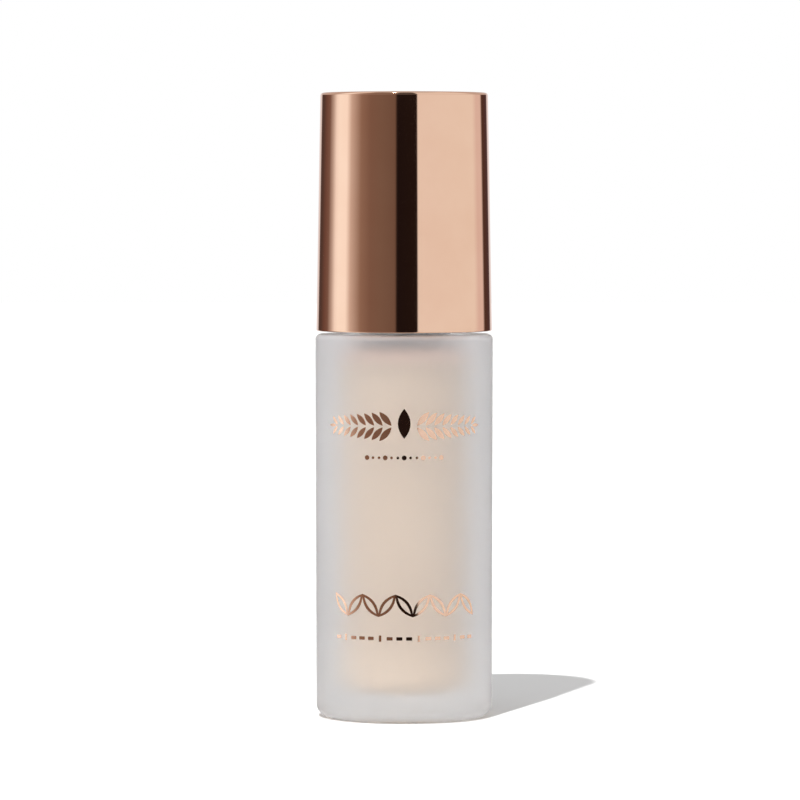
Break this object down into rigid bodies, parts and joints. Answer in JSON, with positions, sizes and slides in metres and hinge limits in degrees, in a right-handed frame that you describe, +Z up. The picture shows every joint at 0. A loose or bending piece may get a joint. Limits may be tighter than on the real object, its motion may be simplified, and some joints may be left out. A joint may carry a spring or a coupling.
{
  "type": "foundation bottle",
  "caption": "Frosted thick-walled glass bottle of liquid foundation with a screw-on treatment pump under a tall rose-gold pull-off overcap.",
  "frame": {"origin": "centre of the base, on the plane that the foot ring rests on", "axes": "+Z up along the bottle's axis, -Y towards the decorated front, +X towards the pump's spout at rest"},
  "size_m": [0.031, 0.0311, 0.1094],
  "materials": {
    "frosted_glass": "satin-frosted outside, clear and thick",
    "foundation": "creamy liquid, light beige",
    "foil": "hot-stamped rose-gold foil",
    "label": "plain self-adhesive label",
    "natural_plastic": "natural polypropylene",
    "gasket": "soft white foam sheet",
    "clear_tube": "translucent polyethylene",
    "spring_steel": "drawn wire",
    "ball_steel": "polished",
    "white_plastic": "moulded, semi-gloss",
    "rose_gold_sleeve": "polished, anodised rose gold",
    "rose_gold_shell": "mirror-bright metallised rose gold",
    "liner_plastic": "moulded, satin",
    "piston_plastic": "soft polyethylene",
    "rose_gold_spout": "metallised rose gold"
  },
  "bodies": {
    "bottle": {"glass_bottle": "frosted_glass", "foundation_fill": "foundation", "foil_spray": "foil", "foil_wave": "foil", "shade_label": "label"},
    "pump": {"pump_housing": "natural_plastic", "stem_guide": "natural_plastic", "neck_gasket": "gasket", "dip_tube": "clear_tube", "return_spring": "spring_steel"},
    "closure": {"screw_closure": "white_plastic", "collar_sleeve": "rose_gold_sleeve"},
    "overcap": {"overcap_shell": "rose_gold_shell", "overcap_liner": "liner_plastic"},
    "piston": {"piston": "piston_plastic"},
    "actuator": {"stem": "white_plastic", "poppet": "white_plastic", "actuator_core": "white_plastic", "actuator_cover": "rose_gold_sleeve", "nozzle_spout": "rose_gold_spout"},
    "check_ball": {"check_ball": "ball_steel"}
  },
  "joints": [
    {"name": "pump_rise", "type": "slide", "parent": "bottle", "child": "pump", "axis": [0, 0, 1], "range_m": [0, 0.0032]},
    {"name": "closure_turn", "type": "hinge", "parent": "pump", "child": "closure", "pos_m": [0, 0, 0.075], "axis": [0, 0, 1], "range_deg": [0, 450]},
    {"name": "overcap_lift", "type": "slide", "parent": "closure", "child": "overcap", "axis": [0, 0, 1], "range_m": [0, 0.045]},
    {"name": "actuator_press", "type": "slide", "parent": "pump", "child": "piston", "axis": [0, 0, -1], "range_m": [0, 0.0045], "stiffness_N_per_m": 1200, "springref_m": -0.005, "deforming": ["return_spring"]},
    {"name": "actuator_swivel", "type": "hinge", "parent": "piston", "child": "actuator", "pos_m": [0, 0, 0.0988], "axis": [0, 0, 1], "continuous": true},
    {"name": "check_ball_lift", "type": "slide", "parent": "pump", "child": "check_ball", "axis": [0, 0, 1], "range_m": [0, 0.001]}
  ],
  "couplings": [
    {"joint": "pump_rise", "follows": "closure_turn", "m_per_rad": 0.00039789}
  ]
}
